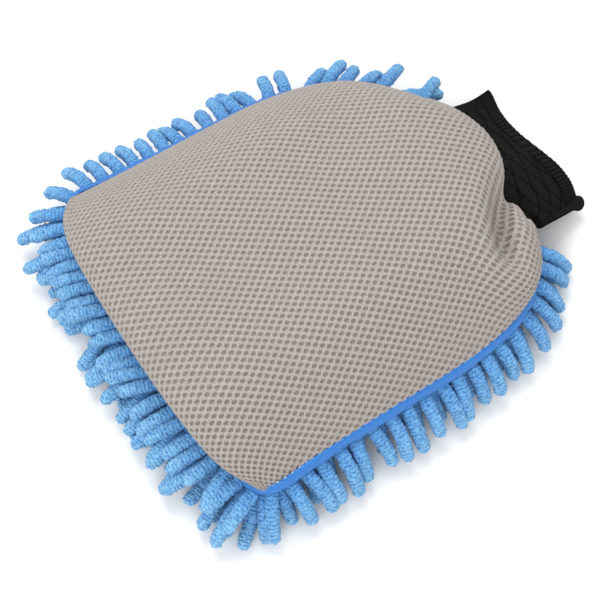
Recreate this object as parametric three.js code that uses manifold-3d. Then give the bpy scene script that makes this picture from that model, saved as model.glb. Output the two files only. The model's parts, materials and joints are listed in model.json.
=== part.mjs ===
// A two-sided car wash mitt, lying on its chenille face with the mesh face up.
// The mesh face is a puffed panel of spacer mesh over a sponge pad and a pocket lining. The other face is
// a backing cloth with rows of chenille noodles tufted through it. A folded tape binds the seam between
// the two faces, and an elastic knit cuff is sewn into the wrist opening, where it bends up and down.
// Millimetres. +X runs across the palm, +Y from the fingertips to the cuff, +Z up. The origin is on the
// ground, under the middle of the whole mitt.
import * as THREE from "three";
import { mergeVertices } from "three/addons/utils/BufferGeometryUtils.js";
import Module from "manifold-3d";

// Outline of the seam between the two faces, seen from above
const HALF_WIDTH = 92; // half the palm's width along its straight sides
const FLARE = 4; // how much wider than that each side is at the fingertip corners
const OUTLINE_MIDDLE_Y = -8; // where the fingertip half of the outline meets the wrist half
const OUTLINE_FRONT = 97; // from there to the fingertip seam
const OUTLINE_REAR = 99; // and to where the wrist curve would close
const WRIST_ROUNDNESS = { near: 3.3, far: 2.5 }; // superellipse powers of the two wrist corners
const CORNER_POWER = 14; // superellipse power of the fingertip corners
const WRIST_Y = 84; // the wrist seam, where the two faces end

// Layers, from the ground up
const NOODLE_LENGTH = 20; // standing height of the crushed noodle bed
const TUFT_STRIP = 2; // thickness of a row's ground strip
const BACKING_THICKNESS = 1.6;
const LINING_THICKNESS = 1;
const LAYER_GAP = 0.3; // clearance that separate pieces keep
const SEAM_Z = 26; // lower edge of the mesh panel
const MESH_THICKNESS = 4;
const SPONGE_THICKNESS = 6;
const SHELL_GAP = 0.8; // clearance between nested faceted shells
const SPINE = { front: -85, rear: 60 }; // the line at seam height that the dome is hollowed towards

// Height of the mesh face along its centre line. Each stop holds the height's own y, the y that its two
// side seams have there, and its z; the fingertip end and the wrist end bulge out over their seams.
const DOME = [
  { seamY: -104.5, y: -104.5, z: SEAM_Z },
  { seamY: -101, y: -120, z: 33 },
  { seamY: -95, y: -118, z: 45 },
  { seamY: -82, y: -97, z: 55 },
  { seamY: -48, y: -50, z: 60 },
  { seamY: 0, y: 0, z: 62 },
  { seamY: 40, y: 40, z: 65 },
  { seamY: 62, y: 64, z: 63 },
  { seamY: 75, y: 79, z: 54 },
  { seamY: 81, y: 85, z: 43 },
  { seamY: WRIST_Y, y: WRIST_Y, z: SEAM_Z + 4 },
];
const DOME_STEPS_ACROSS = 12;
const DOME_STEPS_PER_STOP = 2;

// Chenille noodles
const ROW_COUNT = 16;
const ROW_PITCH = 11.5;
const FIRST_ROW_Y = -98;
const NOODLE_PITCH = 12;
const NOODLE_WIDTH = 10;
const ROW_DEPTH = 9;
const FRINGE_DEPTH = 6.6; // thickness of the noodles that lean out past the fingertip and wrist seams
const EDGE_INSET = 4; // from the seam outline in to where a row's ground strip ends

// Binding tape and its thread
const BINDING_WIDTH = 3.4;
const BINDING_HEIGHT = 3.6;
const THREAD_WIDTH = 0.8;
const OUTLINE_STEPS = 22; // per side, along the binding

// Wrist opening and cuff
const CUFF_X = 2.5; // middle of the cuff
const CUFF_HALF_WIDTH = 43;
const CUFF_HALF_HEIGHT = 8;
const CUFF_WALL = 2;
const CUFF_LENGTH = 45;
const CUFF_DROOP = THREE.MathUtils.degToRad(26);
const HINGE = new THREE.Vector3(CUFF_X, WRIST_Y, 27); // the wrist seam that the cuff bends about
const HINGE_TO_CUFF = 4;
const MOUTH_DIP = 7; // how far the middle of the cuff's mouth lies behind its two corners
const ARCH = { halfWidth: 47, height: 15 }; // the wrist opening, above the hinge
const SEAM_TAPE = { thickness: 2.2, width: 3 };
const SIDE_SEAM = { width: 2.4, height: 3.2 };

const COLOURS = {
  mesh: [0xb4aaa2, 0.85],
  sponge: [0xd8d2c4, 0.95],
  lining: [0x9a9c9f, 0.9],
  backing: [0x2f7fd8, 0.9],
  chenille: [0x4f9eea, 1],
  binding: [0x3f90ea, 0.75],
  thread: [0xc9d6e6, 0.7],
  knit: [0x1a1a1a, 0.9],
};

const wasm = await Module();
wasm.setup();

const mitt = new THREE.Group();

function addPart(name, geometry, finish) {
  const [color, roughness] = COLOURS[finish];
  const material = new THREE.MeshStandardMaterial({ color, roughness, metalness: 0 });
  const mesh = new THREE.Mesh(geometry, material);
  mesh.name = name;
  mitt.add(mesh);
  return mesh;
}

// ---- solids that are cut or joined ----

function solidOf(geometry) {
  const bare = geometry.clone();
  bare.deleteAttribute("normal");
  bare.deleteAttribute("uv");
  const merged = mergeVertices(bare, 1e-3);
  return new wasm.Manifold(
    new wasm.Mesh({
      numProp: 3,
      vertProperties: merged.attributes.position.array,
      triVerts: new Uint32Array(merged.index.array),
    }),
  );
}

function geometryOf(solid) {
  const { numProp, numVert, vertProperties, triVerts } = solid.getMesh();
  const position = new Float32Array(numVert * 3);
  for (let i = 0; i < numVert; i++) {
    position.set(vertProperties.subarray(i * numProp, i * numProp + 3), i * 3);
  }
  const geometry = new THREE.BufferGeometry();
  geometry.setAttribute("position", new THREE.BufferAttribute(position, 3));
  geometry.setIndex(new THREE.BufferAttribute(triVerts, 1));
  return geometry;
}

function cut(geometry, ...cutters) {
  return geometryOf(cutters.reduce((left, cutter) => left.subtract(solidOf(cutter)), solidOf(geometry)));
}

function join(...geometries) {
  return geometryOf(geometries.map(solidOf).reduce((whole, next) => whole.add(next)));
}

// ---- outline of the seam ----

// Half-width of the seam outline at y, on the side that the sign of x gives.
function seamX(y, side) {
  const along = y - OUTLINE_MIDDLE_Y;
  if (along > 0) {
    const power = side > 0 ? WRIST_ROUNDNESS.near : WRIST_ROUNDNESS.far;
    return HALF_WIDTH * Math.max(0, 1 - (along / OUTLINE_REAR) ** power) ** (1 / power);
  }
  const share = Math.min(1, -along / OUTLINE_FRONT);
  return (HALF_WIDTH + FLARE * share ** 4) * (1 - 0.5 * share ** CORNER_POWER) ** (1 / CORNER_POWER);
}

// The seam outline from the wrist along one side, round the fingertips and back along the other side,
// moved outwards by offset.
function seamOutline(offset) {
  const frontY = OUTLINE_MIDDLE_Y - OUTLINE_FRONT;
  const side = (sign) =>
    Array.from({ length: OUTLINE_STEPS + 1 }, (_, i) => {
      const share = (1 - Math.cos((i / OUTLINE_STEPS) * Math.PI)) / 2;
      const y = THREE.MathUtils.lerp(frontY, WRIST_Y, share);
      return new THREE.Vector2(sign * seamX(y, sign), y);
    });
  const path = [...side(-1).reverse(), ...side(1)];
  return path.map((point, i) => {
    const before = path[Math.max(0, i - 1)];
    const after = path[Math.min(path.length - 1, i + 1)];
    const along = after.clone().sub(before).normalize();
    return new THREE.Vector2(point.x + along.y * offset, point.y - along.x * offset);
  });
}

// ---- the mesh face and what lies under it ----

// The dome's centre line at a depth under its outer surface, as points of (seamY, y, z).
function centreLine(depth) {
  const front = DOME[0].seamY;
  const stops = DOME.map(({ seamY, y, z }) => {
    const share = (seamY - front) / (WRIST_Y - front);
    const inwards = new THREE.Vector2(THREE.MathUtils.clamp(y, SPINE.front, SPINE.rear) - y, SEAM_Z - z);
    inwards.setLength(depth);
    const shifted = THREE.MathUtils.lerp(front + depth, WRIST_Y - depth, share);
    return new THREE.Vector3(shifted, y + inwards.x, z + inwards.y);
  });
  const points = new THREE.CatmullRomCurve3(stops, false, "centripetal");
  return points.getPoints((DOME.length - 1) * DOME_STEPS_PER_STOP);
}

// The dome's surface at a depth, as rows of points from fingertip to wrist, each row from far to near.
function domeRows(depth) {
  return centreLine(depth).map(({ x: seamY, y, z }) =>
    Array.from({ length: DOME_STEPS_ACROSS + 1 }, (_, i) => {
      const turn = (i / DOME_STEPS_ACROSS - 0.5) * Math.PI;
      const side = Math.sin(turn);
      const rise = Math.cos(turn);
      return new THREE.Vector3(
        side * (seamX(seamY, side) - depth),
        seamY + (y - seamY) * rise,
        SEAM_Z + (z - SEAM_Z) * rise,
      );
    }),
  );
}

// A closed shell between two depths of the dome, open underneath.
function domeShell(outerDepth, innerDepth) {
  const sheets = [domeRows(outerDepth), domeRows(innerDepth)];
  const rows = sheets[0].length;
  const columns = sheets[0][0].length;
  const position = sheets.flat(2).flatMap((point) => point.toArray());
  const at = (sheet, row, column) => (sheet * rows + row) * columns + column;
  const index = [];
  const quad = (a, b, c, d) => index.push(a, b, c, a, c, d);
  for (let r = 0; r < rows - 1; r++) {
    for (let c = 0; c < columns - 1; c++) {
      quad(at(0, r, c), at(0, r, c + 1), at(0, r + 1, c + 1), at(0, r + 1, c));
      quad(at(1, r, c), at(1, r + 1, c), at(1, r + 1, c + 1), at(1, r, c + 1));
    }
    quad(at(0, r, 0), at(0, r + 1, 0), at(1, r + 1, 0), at(1, r, 0));
    quad(at(0, r + 1, columns - 1), at(0, r, columns - 1), at(1, r, columns - 1), at(1, r + 1, columns - 1));
  }
  for (let c = 0; c < columns - 1; c++) {
    quad(at(0, 0, c + 1), at(0, 0, c), at(1, 0, c), at(1, 0, c + 1));
    quad(at(0, rows - 1, c), at(0, rows - 1, c + 1), at(1, rows - 1, c + 1), at(1, rows - 1, c));
  }
  const geometry = new THREE.BufferGeometry();
  geometry.setAttribute("position", new THREE.Float32BufferAttribute(position, 3));
  geometry.setIndex(index);
  return geometry;
}

// A plug the shape of the wrist opening, standing on the hinge's height.
function archPlug(halfWidth, height, fromY, toY) {
  const shape = new THREE.Shape();
  shape.moveTo(halfWidth, -HINGE.z);
  shape.lineTo(halfWidth, 0);
  shape.absellipse(0, 0, halfWidth, height, 0, Math.PI, false);
  shape.lineTo(-halfWidth, -HINGE.z);
  const plug = new THREE.ExtrudeGeometry(shape, {
    depth: toY - fromY,
    bevelEnabled: false,
    curveSegments: 9,
  });
  return plug.rotateX(Math.PI / 2).translate(HINGE.x, toY, HINGE.z);
}

function buildUpperLayers() {
  const opening = archPlug(ARCH.halfWidth, ARCH.height, WRIST_Y - 45, WRIST_Y + 20);
  const spongeDepth = MESH_THICKNESS + SHELL_GAP;
  const liningDepth = spongeDepth + SPONGE_THICKNESS + SHELL_GAP;
  addPart("mesh_panel", cut(domeShell(0, MESH_THICKNESS), opening), "mesh");
  addPart("sponge_pad", cut(domeShell(spongeDepth, spongeDepth + SPONGE_THICKNESS), opening), "sponge");
  addPart("lining_upper", cut(domeShell(liningDepth, liningDepth + LINING_THICKNESS), opening), "lining");
}

// ---- the flat layers under the pocket ----

function flatLayer(inset, bottom, thickness) {
  const outline = new THREE.Shape(seamOutline(-inset));
  const layer = new THREE.ExtrudeGeometry(outline, { depth: thickness, bevelEnabled: false });
  return layer.translate(0, 0, bottom);
}

function buildLowerLayers() {
  const backingZ = NOODLE_LENGTH + TUFT_STRIP + LAYER_GAP;
  const liningZ = backingZ + BACKING_THICKNESS + LAYER_GAP;
  addPart("chenille_backing", flatLayer(LAYER_GAP, backingZ, BACKING_THICKNESS), "backing");
  addPart("lining_lower", flatLayer(LAYER_GAP, liningZ, LINING_THICKNESS), "lining");
}

// ---- binding tape ----

function seamBand(innerOffset, width, bottom, height) {
  const band = new THREE.Shape([
    ...seamOutline(innerOffset + width),
    ...seamOutline(innerOffset).reverse(),
  ]);
  const geometry = new THREE.ExtrudeGeometry(band, { depth: height, bevelEnabled: false });
  return geometry.translate(0, 0, bottom);
}

function buildBinding() {
  const bottom = SEAM_Z - LAYER_GAP - BINDING_HEIGHT;
  const threadOffset = BINDING_WIDTH + 2 * LAYER_GAP;
  const threadZ = bottom + (BINDING_HEIGHT - THREAD_WIDTH) / 2;
  addPart("edge_binding", seamBand(LAYER_GAP, BINDING_WIDTH, bottom, BINDING_HEIGHT), "binding");
  addPart("binding_thread", seamBand(threadOffset, THREAD_WIDTH / 2, threadZ, THREAD_WIDTH), "thread");
}

// ---- chenille noodles ----

// One tufted row seen from the fingertips: a ground strip, noodles standing under it, and at each end a
// noodle that leans out past the binding and droops to the ground.
function rowShape(y) {
  const farEnd = -seamX(y, -1) + EDGE_INSET;
  const nearEnd = seamX(y, 1) - EDGE_INSET;
  const count = Math.floor((nearEnd - farEnd) / NOODLE_PITCH);
  const first = (farEnd + nearEnd) / 2 - ((count - 1) / 2) * NOODLE_PITCH;
  const stripTop = NOODLE_LENGTH + TUFT_STRIP;
  const leaning = [
    [0, 6], [8, 2], [13, 0], [22, 1], [25, 6], [20, 14], [12, 20], [3, 21.5],
  ];
  const shape = new THREE.Shape();
  shape.moveTo(farEnd, stripTop);
  shape.lineTo(farEnd - 3, 21.5);
  for (const [out, z] of leaning.slice(0, -1).reverse()) shape.lineTo(farEnd - out, z);
  for (let i = 0; i < count; i++) {
    const x = first + i * NOODLE_PITCH;
    shape.lineTo(x - NOODLE_WIDTH / 2, NOODLE_LENGTH);
    shape.lineTo(x - NOODLE_WIDTH / 2 + 0.6, 0);
    shape.lineTo(x + NOODLE_WIDTH / 2 - 0.6, 0);
    shape.lineTo(x + NOODLE_WIDTH / 2, NOODLE_LENGTH);
  }
  for (const [out, z] of leaning) shape.lineTo(nearEnd + out, z);
  shape.lineTo(nearEnd, stripTop);
  return shape;
}

function buildRow(number) {
  const y = FIRST_ROW_Y + (number - 1) * ROW_PITCH;
  const row = new THREE.ExtrudeGeometry(rowShape(y), { depth: ROW_DEPTH, bevelEnabled: false });
  row.rotateX(Math.PI / 2).translate(0, y + ROW_DEPTH / 2, 0);
  addPart(`chenille_row_${String(number).padStart(2, "0")}`, row, "chenille");
}

// A comb of noodles lying out past a seam: from x to x, starting at rootY and reaching tipY on the ground.
function fringe(fromX, toX, rootY, tipY) {
  const rootZ = NOODLE_LENGTH - FRINGE_DEPTH;
  const reach = Math.hypot(tipY - rootY, rootZ);
  const count = Math.round((toX - fromX) / NOODLE_PITCH);
  const pitch = (toX - fromX) / count;
  const comb = new THREE.Shape();
  comb.moveTo(fromX, 0);
  for (let i = 0; i < count; i++) {
    const x = fromX + (i + 0.5) * pitch;
    const tip = reach - (i % 2) * 2.5;
    comb.lineTo(x - NOODLE_WIDTH / 2, 3);
    comb.lineTo(x - NOODLE_WIDTH / 2 + 1.2, tip);
    comb.lineTo(x + NOODLE_WIDTH / 2 - 1.2, tip);
    comb.lineTo(x + NOODLE_WIDTH / 2, 3);
  }
  comb.lineTo(toX, 0);
  const noodles = new THREE.ExtrudeGeometry(comb, { depth: FRINGE_DEPTH, bevelEnabled: false });
  if (tipY < rootY) noodles.rotateZ(Math.PI).translate(fromX + toX, 0, 0);
  const slope = Math.atan2(rootZ, Math.abs(tipY - rootY));
  noodles.rotateX(tipY < rootY ? slope : -slope);
  return noodles.translate(0, rootY, rootZ);
}

function buildFringes() {
  const frontY = FIRST_ROW_Y - ROW_DEPTH / 2 - LAYER_GAP;
  const lastY = FIRST_ROW_Y + (ROW_COUNT - 1) * ROW_PITCH + ROW_DEPTH / 2 + LAYER_GAP;
  addPart("chenille_fringe_front", fringe(-88, 88, frontY, frontY - 24), "chenille");
  addPart("chenille_fringe_wrist_far", fringe(-66, -43, lastY, lastY + 22), "chenille");
  addPart("chenille_fringe_wrist_near", fringe(51, 74, lastY, lastY + 22), "chenille");
}

// ---- wrist ----

function buildSeamTape() {
  const back = WRIST_Y - 1;
  const outer = archPlug(
    ARCH.halfWidth - LAYER_GAP,
    ARCH.height - LAYER_GAP,
    back - SEAM_TAPE.width,
    back,
  );
  const inner = archPlug(
    ARCH.halfWidth - LAYER_GAP - SEAM_TAPE.thickness,
    ARCH.height - LAYER_GAP - SEAM_TAPE.thickness,
    back - SEAM_TAPE.width - 1,
    back + 1,
  );
  const floor = SEAM_Z - LAYER_GAP;
  const below = new THREE.BoxGeometry(200, 40, 60).translate(HINGE.x, WRIST_Y, floor - 30);
  const rim = new THREE.BoxGeometry(2 * (ARCH.halfWidth - 1), SEAM_TAPE.width, 1.2);
  rim.translate(HINGE.x, back - SEAM_TAPE.width / 2, floor + 0.6);
  addPart("wrist_seam_tape", join(cut(outer, inner, below), rim), "binding");
}

function ellipse(halfWidth, halfHeight, Kind) {
  return new Kind().absellipse(0, 0, halfWidth, halfHeight, 0, 2 * Math.PI, false);
}

// Moves what is modelled along +Z from the hinge into the cuff's drooping place.
function droop(geometry) {
  return geometry.rotateX(-Math.PI / 2 - CUFF_DROOP).translate(HINGE.x, HINGE.y, HINGE.z);
}

function buildCuff() {
  const section = ellipse(CUFF_HALF_WIDTH, CUFF_HALF_HEIGHT, THREE.Shape);
  section.holes.push(ellipse(CUFF_HALF_WIDTH - CUFF_WALL, CUFF_HALF_HEIGHT - CUFF_WALL, THREE.Path));
  const tube = new THREE.ExtrudeGeometry(section, {
    depth: CUFF_LENGTH,
    bevelEnabled: false,
    curveSegments: 16,
  });
  const mouthRadius = (CUFF_HALF_WIDTH ** 2 + MOUTH_DIP ** 2) / (2 * MOUTH_DIP);
  const mouth = new THREE.CylinderGeometry(mouthRadius, mouthRadius, 60, 64);
  mouth.translate(0, 0, CUFF_LENGTH - MOUTH_DIP + mouthRadius);
  const cuff = cut(tube, mouth).translate(0, 0, HINGE_TO_CUFF);
  addPart("wrist_cuff", droop(cuff), "knit");
}

function buildSideSeam() {
  const seam = new THREE.BoxGeometry(SIDE_SEAM.width, SIDE_SEAM.height, CUFF_LENGTH - 6);
  const x = CUFF_HALF_WIDTH + LAYER_GAP + SIDE_SEAM.width / 2;
  seam.translate(x, 0, HINGE_TO_CUFF + CUFF_LENGTH / 2);
  addPart("cuff_side_seam", droop(seam), "knit");
}

buildUpperLayers();
buildLowerLayers();
buildBinding();
for (let number = 1; number <= ROW_COUNT; number++) buildRow(number);
buildFringes();
buildSeamTape();
buildCuff();
buildSideSeam();

const bounds = new THREE.Box3().setFromObject(mitt);
const middle = bounds.getCenter(new THREE.Vector3());
mitt.position.set(-middle.x, -middle.y, -bounds.min.z);

export default mitt;
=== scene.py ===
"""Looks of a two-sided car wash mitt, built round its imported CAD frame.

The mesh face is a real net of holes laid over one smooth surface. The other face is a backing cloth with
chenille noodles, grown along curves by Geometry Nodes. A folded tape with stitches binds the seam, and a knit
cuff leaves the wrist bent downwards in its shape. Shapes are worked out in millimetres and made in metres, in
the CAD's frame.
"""

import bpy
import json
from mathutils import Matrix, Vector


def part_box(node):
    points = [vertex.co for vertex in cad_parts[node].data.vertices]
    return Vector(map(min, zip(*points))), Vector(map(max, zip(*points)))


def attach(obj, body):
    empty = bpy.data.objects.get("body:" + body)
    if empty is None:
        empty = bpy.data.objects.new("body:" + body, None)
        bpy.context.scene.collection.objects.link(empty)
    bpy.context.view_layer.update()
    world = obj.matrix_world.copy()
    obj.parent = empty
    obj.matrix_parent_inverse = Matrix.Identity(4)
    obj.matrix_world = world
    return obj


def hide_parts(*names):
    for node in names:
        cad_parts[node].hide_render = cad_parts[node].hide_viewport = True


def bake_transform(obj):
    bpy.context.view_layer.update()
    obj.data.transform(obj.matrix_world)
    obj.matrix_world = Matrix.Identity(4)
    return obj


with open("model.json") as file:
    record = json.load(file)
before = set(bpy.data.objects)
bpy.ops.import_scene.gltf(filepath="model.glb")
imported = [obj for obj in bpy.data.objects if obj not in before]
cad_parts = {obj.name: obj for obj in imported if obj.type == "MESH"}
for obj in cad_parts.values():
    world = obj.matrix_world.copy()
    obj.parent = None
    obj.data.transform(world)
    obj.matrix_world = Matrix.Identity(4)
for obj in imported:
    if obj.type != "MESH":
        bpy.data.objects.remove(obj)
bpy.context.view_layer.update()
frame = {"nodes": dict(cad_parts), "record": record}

import json
import math
import random

import bmesh
import bpy
import numpy as np
from mathutils import Vector

MM = 0.001
TAU = 2 * math.pi

# ---- sizes taken from the frame, in millimetres ----


def box_mm(node):
    """The low and high corners of a CAD node's box."""
    low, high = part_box(node)
    return np.array(low) / MM, np.array(high) / MM


BACKING_LOW, BACKING_HIGH = box_mm("chenille_backing")
HINGE = np.array(frame["record"]["behaviour"]["joints"][0]["pos_m"]) / MM
ROWS = sorted(name for name in frame["nodes"] if name.startswith("chenille_row_"))
ROW_YS = {name: float(sum(corner[1] for corner in box_mm(name)) / 2) for name in ROWS}
FRONT_Y = float(BACKING_LOW[1])
WRIST_Y = float(BACKING_HIGH[1])
SEAM_Z = float(box_mm("mesh_panel")[0][2])
TUFT_Z = float(BACKING_LOW[2]) - 0.8  # height at which noodles leave the backing cloth

# ---- the seam's outline ----

HALF_WIDTH = 92.0
FLARE = 3.0  # each side's extra width at the fingertip corners
FRONT_HALF = 97.0  # from the fingertip seam to the widest line of the mitt
MIDDLE_Y = FRONT_Y + FRONT_HALF
FRONT_BOW = 6.0  # how far the fingertip seam bows forward in its middle
CORNER_RADIUS = 11.0
WRIST_STRAIGHT = 3.0  # the last stretch of each side runs straight back to the wrist opening
NEAR_WRIST = {"power": 2.9, "reach": 97.5}
FAR_WRIST = {"power": 2.3, "reach": 97.0}


def smooth(low, high, value):
    """0 at low, 1 at high, and an eased step between."""
    share = np.clip((value - low) / (high - low), 0, 1)
    return share * share * (3 - 2 * share)


def half_width(y, side):
    """Distance from the middle to the seam at y, on the side whose sign is given."""
    along = np.asarray(y, float) - MIDDLE_Y
    power = np.where(side > 0, NEAR_WRIST["power"], FAR_WRIST["power"])
    reach = np.where(side > 0, NEAR_WRIST["reach"], FAR_WRIST["reach"])
    share = np.clip(along, 0, WRIST_Y - MIDDLE_Y - WRIST_STRAIGHT) / reach
    rear = HALF_WIDTH * (1 - share**power) ** (1 / power)
    front = HALF_WIDTH + FLARE * (np.clip(-along, 0, None) / FRONT_HALF) ** 4
    corner = np.clip(CORNER_RADIUS - (y - FRONT_Y), 0, CORNER_RADIUS)
    rounding = CORNER_RADIUS - np.sqrt(CORNER_RADIUS**2 - corner**2)
    return np.where(along > 0, rear, front) - rounding


def front_bow(x):
    """How far the fingertip seam stands forward at x."""
    return FRONT_BOW * np.clip(1 - (np.asarray(x) / HALF_WIDTH) ** 2, 0, 1)


def seam_path(step):
    """Points of the seam from the far wrist corner round the fingertips to the near one, and the outward
    direction at each."""
    turn = np.linspace(0, math.pi / 2, 90)
    corner_ys = FRONT_Y + CORNER_RADIUS * (1 - np.cos(turn))
    side_ys = np.concatenate([corner_ys, np.linspace(FRONT_Y + CORNER_RADIUS, WRIST_Y, 120)[1:]])
    far = np.stack([-half_width(side_ys, -1.0), side_ys], 1)[::-1]
    near = np.stack([half_width(side_ys, 1.0), side_ys], 1)
    middle_xs = np.linspace(far[-1, 0], near[0, 0], 62)[1:-1]
    middle = np.stack([middle_xs, np.full(len(middle_xs), FRONT_Y)], 1)
    path = np.concatenate([far, middle, near])
    path[:, 1] -= front_bow(path[:, 0]) * smooth(FRONT_Y + 60, FRONT_Y, path[:, 1])
    lengths = run_along(path)
    stops = np.linspace(0, lengths[-1], max(2, round(lengths[-1] / step)) + 1)
    points = np.stack([np.interp(stops, lengths, path[:, k]) for k in (0, 1)], 1)
    tangents = np.gradient(points, axis=0)
    tangents /= np.linalg.norm(tangents, axis=1)[:, None]
    return points, np.stack([tangents[:, 1], -tangents[:, 0]], 1)


# ---- the puffed surface of the mesh face ----

# The pad's edge in cross-section: how far in its curve reaches, how far it bulges past the seam, and the
# height that its length is worked out for.
SIDE_EDGE = {"radius": 50.0, "bulge": -11.0, "height": 32.0}
FRONT_EDGE = {"radius": 40.0, "bulge": 18.0, "height": 30.0}
WRIST_EDGE = {"radius": 36.0, "bulge": 2.0, "height": 34.0}
ARCH_HALF_WIDTH = 47.0  # the wrist opening stands up in an arch over the cuff
ARCH_HEIGHT = 9.0
PAD_HEIGHT = 30.0  # over the seam at the fingertips; the palm is higher by the next two
PALM_RISE = 5.0
HEEL_RISE = 4.0
SIDE_FALL = 3.0  # lower at the sides than in the middle
FAR_HOLLOW = {"depth": 4.5, "y": 36.0, "width": 24.0}
VALLEY_Y = 50.0  # where the valley starts at the near side, and how far it drops towards the middle
VALLEY_DROP = 25.0
VALLEY_FADE = 18.0
VALLEY_DEPTH = 19.0
VALLEY_WIDTHS = (6.3, 5.3)  # on the pad's side and on the lobe's
LOBE_HEIGHT = 5.0
LOBE_PAST = 12.0  # from the valley to the lobe's top
LOBE_BULGE = 11.0  # how far the lobe stands out past the wrist seam, and its middle and half-widths there
LOBE_ACROSS = 51.0
LOBE_WIDTHS = (13.0, 20.0)
NOTCH = {"x": 31.5, "depth": 13.0, "width": 7.3}  # where the valley meets the wrist opening


def edge_lengths(edge):
    """Turn of the edge's curve, from the seam to the flat, and the cloth's length up to each."""
    turn = np.linspace(0, math.pi / 2, 200)
    inward = edge["radius"] * (1 - np.cos(turn)) - edge["bulge"] * np.sin(2 * turn)
    step = np.hypot(np.diff(inward), edge["height"] * np.diff(np.sin(turn)))
    return turn, np.concatenate([[0], np.cumsum(step)])


def spare(edge):
    """How much more cloth the edge's curve takes than the plan it covers."""
    return edge_lengths(edge)[1][-1] - edge["radius"]


def edge_curve(distance, edge, extra=0.0):
    """Distance in from the seam, and share of full height, at a distance along the cloth. extra is added to
    the edge's bulge low down, and fades out before the flat."""
    turns, lengths = edge_lengths(edge)
    turn = np.interp(distance, lengths, turns)
    bulge = edge["bulge"] + 1.5 * extra * np.cos(turn) ** 2
    inward = edge["radius"] * (1 - np.cos(turn)) - bulge * np.sin(2 * turn)
    return inward + np.clip(distance - lengths[-1], 0, None), np.sin(turn)


def arch_height(x):
    """How far the wrist opening's edge stands up over the seam at x."""
    return ARCH_HEIGHT * np.sqrt(np.clip(1 - ((x - HINGE[0]) / ARCH_HALF_WIDTH) ** 2, 0, 1))


def valley_distance(x, y):
    """Distance past the valley that parts the pad from the lobe beside the wrist opening."""
    drop = VALLEY_DROP * np.exp(-(np.clip(x, 12, None) - 35) / VALLEY_FADE)
    return (y - VALLEY_Y - drop) / np.sqrt(1 + (drop / VALLEY_FADE) ** 2)


def notch(x):
    """How far the wrist edge is drawn in at the valley's end."""
    return NOTCH["depth"] * np.exp(-(((x - NOTCH["x"]) / NOTCH["width"]) ** 2))


def crown(x, y):
    """Full height of the pad over its seam."""
    height = PAD_HEIGHT + PALM_RISE * smooth(-80, 0, y) + HEEL_RISE * smooth(0, 50, y)
    height = height - SIDE_FALL * (x / HALF_WIDTH) ** 2
    hollow = np.exp(-(((y - FAR_HOLLOW["y"]) / FAR_HOLLOW["width"]) ** 2))
    height = height - FAR_HOLLOW["depth"] * smooth(0, -45, x) * hollow
    past = valley_distance(x, y)
    fade = smooth(80, 54, x) * smooth(18, 34, x)
    dip = np.exp(-((past / np.where(past < 0, *VALLEY_WIDTHS)) ** 2))
    lobe = np.exp(-(((past - LOBE_PAST) / 8.0) ** 2))
    height = height + fade * (LOBE_HEIGHT * lobe - VALLEY_DEPTH * dip - 4 * smooth(-4, 8, past))
    waves = 0.5 * np.sin(x / 17 + 0.7) * np.sin(y / 23) + 0.35 * np.sin((x - y) / 13)
    return height + waves


CLOTH_FRONT = FRONT_Y - spare(FRONT_EDGE)
CLOTH_WRIST = WRIST_Y + spare(WRIST_EDGE)
CLOTH_HALF = HALF_WIDTH + FLARE + spare(SIDE_EDGE)


def wrist_bulge(across):
    """How much further the cloth bulges past the wrist seam: over the cuff, and again at the lobe."""
    width = np.where(across < LOBE_ACROSS, *LOBE_WIDTHS)
    lobe = np.exp(-(((across - LOBE_ACROSS) / width) ** 2))
    drawn_in = np.where(across < 1, 2.5, 15) * np.minimum(((across - 1) / 40) ** 2, 1.1)
    return 6 - drawn_in + LOBE_BULGE * lobe


def side_bulge(side, y):
    """How much further the cloth bulges past a side seam: a little on the far side, more beside the lobe."""
    far = 2 * smooth(12, 40, y) * smooth(70, 48, y)
    near = 12 * smooth(28, 62, y) * smooth(WRIST_Y + 12, 73, y)
    return np.where(side < 0, far, near)


def pad_surface(across, along):
    """Where a point of the flat mesh cloth lies, and how far in from the cloth's cut edge it is."""
    across, along = np.broadcast_arrays(np.asarray(across, float), np.asarray(along, float))
    side = np.where(across >= 0, 1.0, -1.0)
    front_left = along - CLOTH_FRONT
    wrist_left = CLOTH_WRIST - along
    front_fade = -FRONT_EDGE["bulge"] * np.clip(np.abs(across) / 106, 0, 1) ** 6
    front_in, front_rise = edge_curve(np.clip(front_left, 0, None), FRONT_EDGE, front_fade)
    wrist_in, wrist_rise = edge_curve(np.clip(wrist_left, 0, None), WRIST_EDGE, wrist_bulge(across))
    y = np.where(along < MIDDLE_Y, FRONT_Y + front_in, WRIST_Y - wrist_in)
    y = y - front_bow(across) * smooth(60, 0, front_left) - notch(across) * smooth(26, 0, wrist_left)
    eased = FRONT_Y + front_left * (MIDDLE_Y - FRONT_Y) / (MIDDLE_Y - CLOTH_FRONT)
    from_front = np.where(along < MIDDLE_Y, eased, y)
    width = half_width(np.clip(from_front, FRONT_Y, WRIST_Y), side)
    side_left = width + spare(SIDE_EDGE) - np.abs(across)
    side_in, side_rise = edge_curve(np.clip(side_left, 0, None), SIDE_EDGE, side_bulge(side, y))
    x = side * (width - side_in)
    rise = (side_rise * front_rise * wrist_rise) ** 0.85
    z = SEAM_Z + arch_height(x) * (1 - wrist_rise) + crown(x, y) * rise
    return np.stack([x, y, z], -1), np.minimum(side_left, np.minimum(front_left, wrist_left))


def pad_normals(across, along):
    """The surface's direction out, and straight up where the cloth has no area."""
    reach = 0.5
    east = pad_surface(across + reach, along)[0] - pad_surface(across - reach, along)[0]
    north = pad_surface(across, along + reach)[0] - pad_surface(across, along - reach)[0]
    normals = np.cross(east, north)
    lengths = np.linalg.norm(normals, axis=-1)[..., None]
    return np.where(lengths > 0.05, normals / np.maximum(lengths, 1e-9), np.array([0.0, 0.0, 1.0]))


# ---- making meshes ----


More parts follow.
